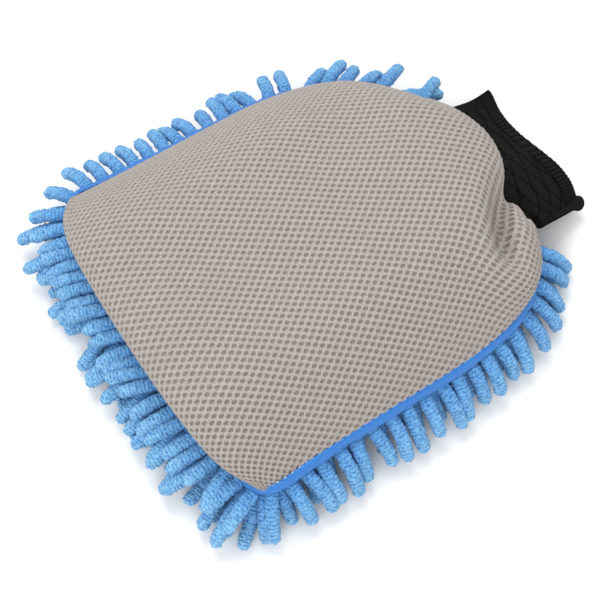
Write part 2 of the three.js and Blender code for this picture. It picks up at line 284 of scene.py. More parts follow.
def placed(name, data):
    """A new object in the scene, at the origin."""
    thing = bpy.data.objects.new(name, data)
    bpy.context.scene.collection.objects.link(thing)
    return thing


def dress(piece, node):
    """Puts a piece on the mitt's body and hides the CAD node that it stands for."""
    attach(piece, "mitt")
    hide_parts(node)


def run_along(points):
    """Distance run along a path up to each of its points."""
    return np.concatenate([[0], np.cumsum(np.linalg.norm(np.diff(points, axis=0), axis=1))])


def mesh_object(name, points_mm, faces, material, values=None, uv_mm=None):
    """A smooth mesh object. values are named numbers, one for each point, and uv_mm a pair for each point."""
    data = bpy.data.meshes.new(name)
    data.from_pydata((np.asarray(points_mm) * MM).tolist(), [], [list(map(int, face)) for face in faces])
    for key, numbers in (values or {}).items():
        attribute = data.attributes.new(key, "FLOAT", "POINT")
        attribute.data.foreach_set("value", np.asarray(numbers, np.float32))
    if uv_mm is not None:
        corners = np.empty(len(data.loops), np.int32)
        data.loops.foreach_get("vertex_index", corners)
        layer = data.uv_layers.new(name="UVMap")
        layer.data.foreach_set("uv", (np.asarray(uv_mm, np.float32)[corners] / 10).ravel())
    data.shade_smooth()
    data.materials.append(material)
    return placed(name, data)


def grid_faces(rows, columns, close_rows=False, close_columns=False):
    """Squares between the points of a grid, which may close on itself either way."""
    faces = []
    for i in range(rows if close_rows else rows - 1):
        for j in range(columns if close_columns else columns - 1):
            ahead, over = (i + 1) % rows, (j + 1) % columns
            faces.append((i * columns + j, i * columns + over, ahead * columns + over, ahead * columns + j))
    return faces


def tidy_mesh(thing, reach_mm=0.02):
    """Merges points that coincide and drops the faces that this leaves without area."""
    work = bmesh.new()
    work.from_mesh(thing.data)
    bmesh.ops.remove_doubles(work, verts=work.verts, dist=reach_mm * MM)
    bmesh.ops.dissolve_degenerate(work, edges=work.edges, dist=reach_mm * MM)
    work.to_mesh(thing.data)
    work.free()


def point_out(thing):
    """Turns every face of a closed mesh outwards."""
    work = bmesh.new()
    work.from_mesh(thing.data)
    bmesh.ops.recalc_face_normals(work, faces=work.faces)
    work.to_mesh(thing.data)
    work.free()
    return thing


def swept(name, path, sides, ups, section, material, shapes=None):
    """A closed bar: the section's points, as (side, up) pairs, carried along the path, with closed ends.
    shapes scales the section at each point of the path."""
    path, sides, ups = np.asarray(path), np.asarray(sides), np.asarray(ups)
    section = np.asarray(section)
    shapes = np.ones(len(path)) if shapes is None else shapes
    spread = section[None] * shapes[:, None, None]
    points = path[:, None] + sides[:, None] * spread[..., :1] + ups[:, None] * spread[..., 1:]
    rows, columns = points.shape[:2]
    faces = grid_faces(rows, columns, close_columns=True)
    faces.append(tuple(range(columns))[::-1])
    faces.append(tuple((rows - 1) * columns + k for k in range(columns)))
    uv = np.stack(np.broadcast_arrays(run_along(path)[:, None], run_along(section)[None]), -1).reshape(-1, 2)
    thing = mesh_object(name, points.reshape(-1, 3), faces, material, uv_mm=uv)
    return point_out(thing)


# ---- node trees ----

FLOAT = "NodeSocketFloat"
VECTOR = "NodeSocketVector"
MATERIAL = "NodeSocketMaterial"
GEOMETRY = "NodeSocketGeometry"


class Nodes:
    """Short words for building a node tree."""

    def __init__(self, tree):
        self.tree = tree

    def add(self, kind, **settings):
        node = self.tree.nodes.new(kind)
        for key, value in settings.items():
            setattr(node, key, value)
        return node

    def wired(self, kind, settings=None, **inputs):
        """Adds a node with its inputs fed by name, where _ is a space, and returns its outputs."""
        node = self.add(kind, **(settings or {}))
        for label, value in inputs.items():
            self.feed(node.inputs[label.replace("_", " ")], value)
        return node.outputs

    def link(self, source, target):
        self.tree.links.new(source, target)

    def feed(self, socket, value):
        if isinstance(value, bpy.types.NodeSocket):
            self.link(value, socket)
        else:
            socket.default_value = value

    def math(self, operation, first, second=0.0, third=None, clamp=False):
        node = self.add("ShaderNodeMath", operation=operation, use_clamp=clamp)
        self.feed(node.inputs[0], first)
        self.feed(node.inputs[1], second)
        if third is not None:
            self.feed(node.inputs[2], third)
        return node.outputs[0]

    def mix(self, share, first, second):
        node = self.add("ShaderNodeMix", data_type="RGBA")
        self.feed(node.inputs["Factor"], share)
        self.feed(node.inputs[6], first)
        self.feed(node.inputs[7], second)
        return node.outputs[2]

    def noise(self, vector, scale, detail=3.0, roughness=0.6):
        inputs = {"Vector": vector, "Scale": scale, "Detail": detail, "Roughness": roughness}
        return self.wired("ShaderNodeTexNoise", **inputs)["Fac"]

    def spread(self, value, low, high, to_low=0.0, to_high=1.0):
        node = self.add("ShaderNodeMapRange")
        for socket, number in zip(node.inputs, (value, low, high, to_low, to_high)):
            self.feed(socket, number)
        return node.outputs[0]

    def attribute(self, name):
        return self.add("ShaderNodeAttribute", attribute_name=name).outputs["Fac"]

    def coordinates(self, output):
        return self.add("ShaderNodeTexCoord").outputs[output]

    def bump(self, height, distance, strength=1.0, **normal):
        inputs = {"Height": height, "Distance": distance, "Strength": strength, **normal}
        return self.wired("ShaderNodeBump", **inputs)[0]


def new_tree(name, kind, inputs, outputs):
    """A node group with named sockets: the tree, its nodes, and the sockets of its input and output nodes."""
    tree = bpy.data.node_groups.new(name, kind)
    for label, sort, value in inputs:
        socket = tree.interface.new_socket(label, in_out="INPUT", socket_type=sort)
        if value is not None:
            socket.default_value = value
    for label, sort in outputs:
        tree.interface.new_socket(label, in_out="OUTPUT", socket_type=sort)
    nodes = Nodes(tree)
    return tree, nodes, nodes.add("NodeGroupInput").outputs, nodes.add("NodeGroupOutput").inputs


def fibre_group():
    """Loose fibres: a speckle to colour with and a height to bump with."""
    tree, n, given, out = new_tree(
        "loose_fibres",
        "ShaderNodeTree",
        [("Vector", VECTOR, None), ("Fibres per metre", FLOAT, 2500.0)],
        [("Speckle", FLOAT), ("Height", FLOAT)],
    )
    fine = n.noise(given[0], given[1], 4.0, 0.7)
    coarse = n.noise(given[0], n.math("MULTIPLY", given[1], 0.21), 2.0)
    n.link(n.spread(fine, 0.3, 0.7), out[0])
    n.link(n.math("MULTIPLY_ADD", fine, 0.7, n.math("MULTIPLY", coarse, 0.3)), out[1])
    return tree


def knit_group():
    """Knit loops over a UV map in centimetres: V-shaped stitches in wales and courses."""
    tree, n, given, out = new_tree(
        "knit_loops",
        "ShaderNodeTree",
        [("UV", VECTOR, None), ("Wales per cm", FLOAT, 10.0), ("Courses per cm", FLOAT, 14.0)],
        [("Height", FLOAT), ("Shade", FLOAT)],
    )
    parts = n.wired("ShaderNodeSeparateXYZ", Vector=given[0])
    wale = n.math("PINGPONG", n.math("MULTIPLY", parts[0], given[1]), 0.5)
    leaning = n.math("MULTIPLY_ADD", parts[1], given[2], n.math("MULTIPLY", wale, 1.4))
    course = n.math("PINGPONG", leaning, 0.5)
    ridge = n.math("MULTIPLY", n.math("SINE", n.math("MULTIPLY", wale, TAU)), 0.6)
    height = n.math("ADD", n.math("MULTIPLY", course, 0.9), ridge)
    n.link(height, out[0])
    n.link(n.spread(height, 0.1, 0.9), out[1])
    return tree


def twill_group():
    """Fine diagonal ribs over a UV map in centimetres."""
    tree, n, given, out = new_tree(
        "twill_ribs",
        "ShaderNodeTree",
        [("UV", VECTOR, None), ("Ribs per cm", FLOAT, 16.0)],
        [("Height", FLOAT)],
    )
    parts = n.wired("ShaderNodeSeparateXYZ", Vector=given[0])
    slant = n.math("ADD", parts[0], n.math("MULTIPLY", parts[1], 0.8))
    rib = n.math("PINGPONG", n.math("MULTIPLY", slant, given[1]), 0.5)
    weft = n.math("PINGPONG", n.math("MULTIPLY", parts[1], n.math("MULTIPLY", given[1], 2.0)), 0.5)
    n.link(n.math("MULTIPLY_ADD", rib, 1.4, n.math("MULTIPLY", weft, 0.5)), out[0])
    return tree


FIBRES = fibre_group()
KNIT = knit_group()
TWILL = twill_group()


def use_group(nodes, tree, *values):
    """Places a shader group with its inputs in order, and returns its outputs."""
    node = nodes.add("ShaderNodeGroup", node_tree=tree)
    for socket, value in zip(node.inputs, values):
        nodes.feed(socket, value)
    return node.outputs


def fibres(nodes, per_metre):
    """The speckle and the height of the loose fibres on a material."""
    return use_group(nodes, FIBRES, nodes.coordinates("Object"), per_metre)[:2]


def finish(nodes, shader, colour, normal):
    """Feeds a material's colour and normal to its shader."""
    nodes.link(colour, shader.inputs["Base Color"])
    nodes.link(normal, shader.inputs["Normal"])


def new_material(name, roughness, sheen=0.0, sheen_tint=(1, 1, 1, 1), specular=0.25):
    """A cloth-like material: itself, its nodes and its shader."""
    material = bpy.data.materials.new(name)
    material.use_nodes = True
    nodes = Nodes(material.node_tree)
    sockets = material.node_tree.nodes["Principled BSDF"].inputs
    sockets["Roughness"].default_value = roughness
    sockets["Specular IOR Level"].default_value = specular
    sockets["Sheen Weight"].default_value = sheen
    sockets["Sheen Roughness"].default_value = 0.5
    sockets["Sheen Tint"].default_value = sheen_tint
    return material, nodes, material.node_tree.nodes["Principled BSDF"]


def mesh_cloth():
    """Warm grey air mesh: pale knotted strands over holes, with painted shade darkening each hole's wall
    towards its floor.
    """
    material, n, shader = new_material("mesh_cloth", 0.82, sheen=0.08)
    where = n.coordinates("Object")
    speckle, fibre_height = fibres(n, 1500.0)
    strand = n.mix(speckle, (0.272, 0.246, 0.230, 1), (0.512, 0.470, 0.442, 1))
    # Painted shade: the hole colour is shade painted into the holes, mixed in by depth from the rims to the
    # floors.
    hole = n.mix(speckle, (0.190, 0.157, 0.130, 1), (0.345, 0.296, 0.255, 1))
    depth = n.spread(n.attribute("hole"), 0.35, 0.95)
    base = n.mix(depth, strand, hole)
    patchy = n.spread(n.noise(where, 28.0, 2.0), 0.3, 0.7, 0.0, 0.10)
    finish(n, shader, n.mix(patchy, base, (0.36, 0.31, 0.27, 1)), n.bump(fibre_height, 0.0007, 0.8))
    return material


CRINKLE_PITCH = 0.0017  # metres from one fold of the pile to the next


def chenille():
    """Blue microfibre pile, crinkled across each noodle, with painted shade in its folds and at the roots
    and painted light on its ridges and tips."""
    material, n, shader = new_material("chenille", 0.9, sheen=0.3, sheen_tint=(0.55, 0.8, 1, 1))
    where = n.coordinates("Object")
    speckle, fibre_height = fibres(n, 1900.0)
    clump = n.spread(n.noise(where, 820.0, 2.0), 0.34, 0.64)
    turns = n.math("MULTIPLY", n.attribute("run"), TAU / CRINKLE_PITCH)
    crinkle = n.math("SINE", n.math("MULTIPLY_ADD", n.noise(where, 520.0, 2.0), 10.0, turns))
    height = n.math("MULTIPLY_ADD", crinkle, 0.18, n.math("MULTIPLY_ADD", clump, 0.55, fibre_height))
    # Painted shade and light: along each noodle the roots are darker and the tips paler, and by the pile's
    # height the folds are darker and the ridges paler.
    along = n.spread(n.attribute("along"), 0.05, 0.9)
    raised = n.spread(height, 0.48, 0.98, 0.0, 0.76)
    pile = n.math("MULTIPLY_ADD", n.attribute("pile"), 0.4, raised, clamp=True)
    shade = n.mix(along, (0.008, 0.080, 0.40, 1), (0.024, 0.200, 0.68, 1))
    light = n.mix(along, (0.115, 0.45, 0.98, 1), (0.335, 0.71, 1.0, 1))
    flecked = n.mix(n.math("MULTIPLY", speckle, 0.2), n.mix(pile, shade, light), (0.30, 0.67, 1.0, 1))
    finish(n, shader, flecked, n.bump(height, 0.0013, 0.9))
    return material


def binding_cloth():
    """Blue twill tape with a slight sheen."""
    material, n, shader = new_material("binding_cloth", 0.55, sheen=0.15, sheen_tint=(0.6, 0.8, 1, 1))
    ribs = use_group(n, TWILL, n.coordinates("UV"), 14.0)[0]
    base = n.mix(n.spread(ribs, 0.1, 0.9), (0.026, 0.165, 0.56, 1), (0.055, 0.265, 0.75, 1))
    flecked = n.mix(n.math("MULTIPLY", fibres(n, 1500.0)[0], 0.25), base, (0.09, 0.34, 0.84, 1))
    finish(n, shader, flecked, n.bump(ribs, 0.0004, 0.9))
    return material


def thread_ply(name, dark, pale):
    """Twisted sewing thread."""
    material, n, shader = new_material(name, 0.5, sheen=0.1)
    speckle, height = fibres(n, 4200.0)
    finish(n, shader, n.mix(speckle, dark, pale), n.bump(height, 0.0002))
    return material


def knit_cloth(name, dark, pale, wales, courses, depth):
    """Knit cloth whose loops follow the piece's UV map."""
    material, n, shader = new_material(name, 0.9, sheen=0.12)
    loops = use_group(n, KNIT, n.coordinates("UV"), wales, courses)
    speckle, fibre_height = fibres(n, 2600.0)
    shade = n.math("MULTIPLY_ADD", loops[1], 0.7, n.math("MULTIPLY", speckle, 0.3))
    bumps = n.bump(fibre_height, depth * 0.6, 0.6, Normal=n.bump(loops[0], depth, 0.9))
    finish(n, shader, n.mix(shade, dark, pale), bumps)
    return material


def rib_knit():
    """Black elastic knit: loops on raised ribs, with painted shade in the grooves and where the pattern is
    pressed in.
    """
    material, n, shader = new_material("rib_knit", 1.0, sheen=0.005, specular=0.05)
    loops = use_group(n, KNIT, n.coordinates("UV"), 9.0, 12.0)
    speckle, fibre_height = fibres(n, 2400.0)
    shade = n.math("MULTIPLY_ADD", loops[1], 0.55, n.math("MULTIPLY", speckle, 0.45))
    base = n.mix(shade, (0.0030, 0.0030, 0.0027, 1), (0.0250, 0.0242, 0.0222, 1))
    # Painted shade: the knit is darker where its relief is low, in the grooves, the pressed lines and the hem.
    raised = n.spread(n.attribute("relief"), -0.25, 0.15)
    bumps = n.bump(fibre_height, 0.0003, 0.6, Normal=n.bump(loops[0], 0.0005, 0.9))
    finish(n, shader, n.mix(raised, (0.0018, 0.0018, 0.0016, 1), base), bumps)
    return material


def sponge_foam():
    """Open-cell sponge, with painted shade in its pores."""
    material, n, shader = new_material("sponge_foam", 0.95)
    cells = n.wired("ShaderNodeTexVoronoi", Vector=n.coordinates("Object"), Scale=900.0)
    # Painted shade: each pore is darker towards its middle.
    pores = n.spread(cells["Distance"], 0.1, 0.6)
    colour = n.mix(pores, (0.38, 0.34, 0.26, 1), (0.74, 0.69, 0.58, 1))
    finish(n, shader, colour, n.bump(pores, 0.0005, 0.8))
    return material


def plain_floor():
    """Pale, barely grained floor."""
    material, n, shader = new_material("pale_floor", 0.9)
    grain = n.noise(n.coordinates("Object"), 3.0, 1.0)
    n.link(n.mix(grain, (0.86, 0.86, 0.86, 1), (0.90, 0.90, 0.90, 1)), shader.inputs["Base Color"])
    return material


MESH_CLOTH = mesh_cloth()
CHENILLE = chenille()
BINDING_CLOTH = binding_cloth()
BLUE_THREAD = thread_ply("blue_thread", (0.04, 0.22, 0.70, 1), (0.16, 0.45, 0.92, 1))
PALE_THREAD = thread_ply("pale_thread", (0.60, 0.62, 0.66, 1), (0.90, 0.92, 0.95, 1))
BACKING_CLOTH = knit_cloth("backing_cloth", (0.02, 0.13, 0.47, 1), (0.07, 0.30, 0.75, 1), 6.0, 9.0, 0.0004)
LINING_CLOTH = knit_cloth("lining_cloth", (0.22, 0.22, 0.23, 1), (0.42, 0.42, 0.43, 1), 9.0, 13.0, 0.0003)
RIB_KNIT = rib_knit()
SPONGE_FOAM = sponge_foam()

# ---- the mesh face ----

HOLE_PITCH_ACROSS = 4.0
HOLE_PITCH_ALONG = 5.2
HOLE_RIM = 1.12  # half-width of a hole at its rim
HOLE_FLOOR = 0.86  # its half-width at its floor
HOLE_STRETCH = 1.27  # a hole's length over its width
HOLE_DEPTH = 0.55
KNOT_HEIGHT = 0.42
RIM_HEIGHT = 0.2
HOLE_SIDES = 8


CEILING_REACH = 5.0  # how far round a point the inner layers stay below the mesh face
BARE_EDGE = 3.2  # holes centred further than this past the cut edge are left out


def hole_centres():
    """Centres of the holes on the flat cloth, in staggered rows."""
    last = math.ceil(CLOTH_HALF / HOLE_PITCH_ACROSS) + 1
    columns = np.arange(-last, last + 1)
    rows = np.arange(math.ceil((CLOTH_WRIST - CLOTH_FRONT) / HOLE_PITCH_ALONG * 2) + 3) - 1
    column, row = np.meshgrid(columns, rows)
    across = (column + (row % 2) / 2) * HOLE_PITCH_ACROSS
    along = CLOTH_FRONT + row * HOLE_PITCH_ALONG / 2
    centres = np.stack([across.ravel(), along.ravel()], 1)
    left = pad_surface(centres[:, 0], centres[:, 1])[1]
    return centres[left > -BARE_EDGE]


def mesh_face():
    """The net: every hole has a diamond of strand round it, a rim, a wall and a floor."""
    centres = hole_centres()
    quarter = np.array([HOLE_PITCH_ACROSS / 4, HOLE_PITCH_ALONG / 4])
    corners = np.array([(2, 0), (1, 1), (0, 2), (-1, 1), (-2, 0), (-1, -1), (0, -2), (1, -1)]) * quarter
    angles = np.arange(HOLE_SIDES) * TAU / HOLE_SIDES
    ring = np.stack([np.cos(angles), np.sin(angles) * HOLE_STRETCH], 1)
    outer = (centres[:, None] + corners).reshape(-1, 2)
    keys = np.round(outer / quarter - np.array([0, CLOTH_FRONT / quarter[1]])).astype(int)
    shared, where = np.unique(keys, axis=0, return_inverse=True)
    where = where.ravel()
    strand = np.empty((len(shared), 2))
    strand[where] = outer
    knot = np.zeros(len(shared))
    knot[where] = np.tile(np.array([1.0, 0.0] * (HOLE_SIDES // 2)), len(centres))
    rim = (centres[:, None] + ring * HOLE_RIM).reshape(-1, 2)
    floor = (centres[:, None] + ring * HOLE_FLOOR).reshape(-1, 2)
    flat = np.concatenate([strand, rim, floor])
    rims = np.full(len(rim), RIM_HEIGHT)
    heights = np.concatenate([knot * KNOT_HEIGHT, rims, np.full(len(floor), -HOLE_DEPTH)])
    # Painted shade mask for the cloth: 0 on the strands, 0.3 at the rims, 1 on the hole floors.
    hole = np.concatenate([np.zeros(len(strand)), np.full(len(rim), 0.3), np.ones(len(floor))])
    points, left = pad_surface(flat[:, 0], flat[:, 1])
    heights = heights * np.clip(left / 2, 0, 1)
    points = points + pad_normals(flat[:, 0], flat[:, 1]) * heights[:, None]
    first_rim, first_floor = len(strand), len(strand) + len(rim)
    faces = []
    for number in range(len(centres)):
        start = number * HOLE_SIDES
        for k in range(HOLE_SIDES):
            after = (k + 1) % HOLE_SIDES
            a, b = where[start + k], where[start + after]
            c, d = first_rim + start + k, first_rim + start + after
            e, f = first_floor + start + k, first_floor + start + after
            faces += [(a, b, d, c), (c, d, f, e)]
        faces.append(tuple(first_floor + start + k for k in range(HOLE_SIDES)))
    net = mesh_object("mesh_face", points, faces, MESH_CLOTH, values={"hole": hole})
    tidy_mesh(net)
    dress(net, "mesh_panel")


# ---- layers under the mesh face ----


def ceiling(x, y):
    """The lowest height of the mesh face within reach of each point of the plan."""
    cloth = np.meshgrid(np.linspace(-CLOTH_HALF, CLOTH_HALF, 150), np.linspace(CLOTH_FRONT, CLOTH_WRIST, 160))
    samples = pad_surface(*cloth)[0].reshape(-1, 3)
    lowest = np.empty(x.shape)
    for place in np.ndindex(*x.shape):
        near = (samples[:, 0] - x[place]) ** 2 + (samples[:, 1] - y[place]) ** 2 < CEILING_REACH**2
        lowest[place] = samples[near, 2].min() if near.any() else SEAM_Z
    return lowest


def under_layer(name, node, material, inset, depth, thickness):
    """A soft layer nested under the mesh face, inset from the seam, with its own depth and thickness."""
    y = np.linspace(FRONT_Y + inset, WRIST_Y - inset, 64)[:, None]
    share = np.linspace(0, 1, 62)[None]
    near, far = half_width(y, 1.0) - inset, half_width(y, -1.0) - inset
    x = share * near - (1 - share) * far
    y = y + 0 * x
    roof = ceiling(x, y)
    top = np.maximum(roof - depth, SEAM_Z + 0.8)
    under = np.maximum(top - thickness, SEAM_Z + 0.3)
    points = np.concatenate([np.stack([x, y, z], -1).reshape(-1, 3) for z in (top, under)])
    rows, columns = x.shape
    faces = grid_faces(rows, columns)
    offset = rows * columns
    faces += [tuple(offset + k for k in reversed(face)) for face in faces]
    index = np.arange(offset).reshape(rows, columns)
    border = [*index[0], *index[1:, -1], *index[-1, -2::-1], *index[-2:0:-1, 0]]
    faces += [(b, a, a + offset, b + offset) for a, b in zip(border, border[1:] + border[:1])]
    piece = point_out(mesh_object(name, points, faces, material, uv_mm=points[:, :2]))
    dress(piece, node)
    return piece


def flat_layer(name, node, material, inset):
    """A cloth cut to the seam's outline, as thick as its CAD node."""
    low, high = box_mm(node)
    path, outward = seam_path(3.0)
    edge = path - outward * inset
    count = len(edge)
    rings = ((0.5, low[2]), (1.0, low[2]), (1.0, high[2]), (0.5, high[2]))
    points = np.concatenate([np.column_stack([edge * share, np.full(count, z)]) for share, z in rings])
    faces = grid_faces(4, count, close_columns=True)
    faces.append(tuple(range(count)))
    faces.append(tuple(3 * count + k for k in range(count))[::-1])
    piece = point_out(mesh_object(name, points, faces, material, uv_mm=points[:, :2]))
    dress(piece, node)


# ---- binding tape and stitches ----

TAPE_TUCK = 2.6  # how far the tape is drawn in under the lobe
# The folded tape's section, as (out, up) from the seam.
TAPE_SECTION = [
    (-1.5, 1.1), (-0.7, 1.5), (0.5, 1.3), (1.6, 0.7), (2.3, -0.4), (2.5, -1.7), (2.1, -3.0), (0.8, -3.7),
    (-1.6, -3.8), (-2.2, -3.3), (-0.8, -2.8), (1.0, -2.3), (1.4, -0.8), (0.4, 0.1), (-0.9, 0.4),
]


def tape_frames(step):
    """Points along the seam's tape, and the outward direction at each."""
    path, outward = seam_path(step)
    lift = arch_height(path[:, 0]) * smooth(80, WRIST_Y, path[:, 1])
    tucked = TAPE_TUCK * smooth(62, 78, path[:, 1]) * (path[:, 0] > 0)
    points = np.column_stack([path - outward * tucked[:, None], SEAM_Z + lift])
    return points, np.column_stack([outward, np.zeros(len(path))])


def binding():
    """The folded tape round the seam, slightly puckered by its stitches."""
    points, sides = tape_frames(1.2)
    run = np.arange(len(points)) * 1.2
    pucker = 0.16 * np.sin(run * TAU / 3.4) + 0.22 * np.sin(run / 11) * np.sin(run / 4.1)
    points = points + sides * pucker[:, None]
    ups = np.tile([0.0, 0.0, 1.0], (len(points), 1))
    shapes = 1 + 0.05 * np.sin(run / 6.5)
    tape = swept("binding_tape", points, sides, ups, TAPE_SECTION, BINDING_CLOTH, shapes)
    dress(tape, "edge_binding")


def geometry_tree(name, inputs):
    """A Geometry Nodes tree with named inputs besides its geometry."""
    sockets = [("Geometry", GEOMETRY, None), *inputs]
    return new_tree(name, "GeometryNodeTree", sockets, [("Geometry", GEOMETRY)])


def chain(nodes, geometry, kind, settings=None, **inputs):
    """Adds a geometry node after another and returns its geometry."""
    outputs = nodes.wired(kind, settings, **inputs)
    nodes.link(geometry, outputs[0].node.inputs[0])
    return outputs[0]


def finish_tree(nodes, geometry, material, out):
    """Ends a tree: instances made real, and the material set."""
    real = chain(nodes, geometry, "GeometryNodeRealizeInstances")
    nodes.link(chain(nodes, real, "GeometryNodeSetMaterial", Material=material), out[0])


def grown(paths_mm, tree, name, **values):
    """The plain mesh that a Geometry Nodes tree grows along open paths. values are inputs of the tree, with _
    for a space."""
    data = bpy.data.curves.new("growing_path", "CURVE")
    data.dimensions = "3D"
    for path in paths_mm:
        spline = data.splines.new("POLY")
        spline.points.add(len(path) - 1)
        flat = np.column_stack([np.asarray(path) * MM, np.ones(len(path))])
        spline.points.foreach_set("co", flat.ravel())
    source = placed("growing_path", data)
    modifier = source.modifiers.new("grow", "NODES")
    modifier.node_group = tree
    for item in tree.interface.items_tree:
        key = item.name.replace(" ", "_")
        if item.in_out == "INPUT" and key in values:
            modifier[item.identifier] = values[key]
    bpy.context.view_layer.update()
    evaluated = source.evaluated_get(bpy.context.evaluated_depsgraph_get())
    mesh = bpy.data.meshes.new_from_object(evaluated)
    source.modifiers.remove(modifier)
    bpy.data.objects.remove(source)
    return placed(name, mesh)


def stitch_tree():
    """Short thread loops at an even pitch along a curve."""
    tree, n, given, out = geometry_tree(
        "stitch_row",
        [
            ("Pitch", FLOAT, 0.0032),
            ("Stitch length", FLOAT, 0.0024),
            ("Thread radius", FLOAT, 0.00032),
            ("Slant", FLOAT, 0.0),
            ("Thread", MATERIAL, None),
        ],
    )
    by_length = {"mode": "LENGTH"}
    spaced = chain(n, given["Geometry"], "GeometryNodeResampleCurve", by_length, Length=given["Pitch"])
    loop = n.wired("GeometryNodeMeshUVSphere", Segments=6, Rings=5, Radius=given["Thread radius"])
    stretch = n.math("DIVIDE", given["Stitch length"], n.math("MULTIPLY", given["Thread radius"], 2.0))
    shape = n.wired("ShaderNodeCombineXYZ", X=1.0, Y=1.0, Z=stretch)
    tangent = n.add("GeometryNodeInputTangent").outputs[0]
    turn = n.wired("FunctionNodeAlignRotationToVector", {"axis": "Z"}, Vector=tangent)
    lean = n.wired("ShaderNodeCombineXYZ", X=given["Slant"])
    slanted = n.add("FunctionNodeRotateRotation", rotation_space="LOCAL")
    n.link(turn[0], slanted.inputs[0])
    n.link(lean[0], slanted.inputs[1])
    frames = {"Rotation": slanted.outputs[0], "Scale": shape[0]}
    rows = chain(n, spaced, "GeometryNodeInstanceOnPoints", Instance=loop[0], **frames)
    finish_tree(n, rows, given["Thread"], out)
    return tree


def stitches():
    """Two rows of thread: a blue one along the tape, and a slanted pale one that shows at one corner."""
    tree = stitch_tree()
    points, sides = tape_frames(1.0)
    upper = points - sides * 0.6 + np.array([0, 0, 1.55])
    row = grown([upper], tree, "binding_stitches", Thread=BLUE_THREAD)
    row.data.shade_smooth()
    dress(row, "binding_thread")
    corner = (points[:, 0] > HALF_WIDTH - 6) & (points[:, 1] < FRONT_Y + 30)
    wander = 0.5 * np.sin(np.arange(len(points)) * 1.3)[:, None]
    edge = (points - sides * (1.25 + wander) + np.array([0, 0, 1.6]))[corner]
    sizes = {"Pitch": 0.0042, "Stitch_length": 0.0017, "Slant": 0.9}
    pale = grown([edge], tree, "corner_stitches", Thread=PALE_THREAD, **sizes)
    pale.data.shade_smooth()
    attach(pale, "mitt")


# ---- chenille noodles ----

NOODLE_RADIUS = 3.5
GROUND_GAP = 0.8  # keeps a noodle's tufts off the ground
FIELD_PITCH = 8.6  # from noodle to noodle in the rows under the palm
FIELD_INSET = 13.0
FIELD_LENGTH = 27.0


def noodle_path(root, heading, length, pitch_root, pitch_tip, curl, steps=12):
    """The centre line of one noodle. It leaves its root towards heading and droops from one pitch to the
    other, and where it meets the ground it lies along it. Angles are in degrees."""
    points = [np.array(root, float)]
    lowest = NOODLE_RADIUS + GROUND_GAP
    for step in range(steps):
        share = (step + 0.5) / steps
        yaw = math.radians(heading + curl * share)
        pitch = math.radians(pitch_root + (pitch_tip - pitch_root) * share)
        ahead = np.array([math.cos(yaw) * math.cos(pitch), math.sin(yaw) * math.cos(pitch), -math.sin(pitch)])
        point = points[-1] + ahead * length / steps
        if point[2] < lowest:
            point[2] = lowest
            point[:2] += ahead[:2] * 0.35 * length / steps
        points.append(point)
    return points


# How the noodles of each layer leave the seam: inset of the root, its depth below the backing cloth, length,
# pitch at the root and at the tip, lean, curl, and the pitch from noodle to noodle. Angles are in degrees.
NEAR_LAYERS = [
    (1.5, 1.5, 27.5, 6, 74, -5, 0, 9.6),
    (4.5, 4.6, 26.5, 20, 84, -4, 0, 9.6),
    (12, 5, 24, 55, 85, 0, 0, 9.6),
]
FAR_LAYERS = [
    (1.5, 1.5, 26, -14, 46, -12, 34, 9),
    (10, 4, 19, 74, 88, 0, 0, 9),
    (16, 4, 22, 70, 86, 0, 0, 9),
]
FRONT_LAYERS = [
    (-1, -0.3, 24.5, -8, 28, -23, 0, 7.6),
    (1, 4.4, 34.5, 3, 32, -5, 0, 7.6),
    (5, 6, 34, 26, 52, -3, 0, 7.6),
]
CORNER_CROWDING = 0.5  # how much closer the noodles stand at the fingertip corners
JITTER = {"length": (-3.0, 1.5), "root": 4.0, "tip": 8.0, "lean": (7.0, 12.0, 14.0), "curl": 9.0}


def edge_style(layer, outward, x, y):
    """The layer's numbers here, blended between the front and the two sides."""
    to_front = smooth(0.45, 0.9, -outward[1])
    to_far = smooth(-0.2, 0.2, -outward[0]) * (1 - to_front)
    to_near = 1 - to_front - to_far
    layers = (NEAR_LAYERS, to_near), (FAR_LAYERS, to_far), (FRONT_LAYERS, to_front)
    style = sum(np.array(rows[layer], float) * share for rows, share in layers)
    style[5] = style[5] * (1 - 0.9 * to_front * smooth(20, 80, x)) - 24 * to_far * smooth(20, 55, y)
    style[2] += 4 * to_far * smooth(20, 50, y) + 4 * to_near * smooth(45, 72, y)
    turning = 4 * to_front * (1 - to_front)
    style[7] *= 1 - (1 - CORNER_CROWDING) * turning
    return style


def edge_noodles(rng):
    """Noodles that leave the seam, in three layers."""
    path, outward = seam_path(0.5)
    stops = [3.0]
    while stops[-1] < len(path) / 2 - 12:
        index = int(stops[-1] * 2)
        stops.append(stops[-1] + edge_style(0, outward[index], *path[index])[7] * rng.uniform(0.92, 1.08))
    noodles = []
    for layer in range(3):
        between = [(first + second) / 2 for first, second in zip(stops, stops[1:])]
        for stop in between if layer == 1 else stops:
            index = int(stop * 2)
            point, normal = path[index], outward[index]
            inset, depth, length, pitch_root, pitch_tip, lean, curl = edge_style(layer, normal, *point)[:7]
            curl = curl * (1 - 0.8 * smooth(-20, 30, point[1]))
            heading = math.degrees(math.atan2(normal[1], normal[0])) + lean
            heading += rng.gauss(0, JITTER["lean"][layer])
            root = (*(point - normal * inset), TUFT_Z - depth)
            noodles.append(
                noodle_path(
                    root,
                    heading,
                    length + rng.uniform(*JITTER["length"]),
                    pitch_root + rng.gauss(0, JITTER["root"]),
                    pitch_tip + rng.gauss(0, JITTER["tip"]),
                    curl * rng.uniform(0.5, 1.4) + rng.gauss(0, JITTER["curl"]),
                )
            )
    return noodles


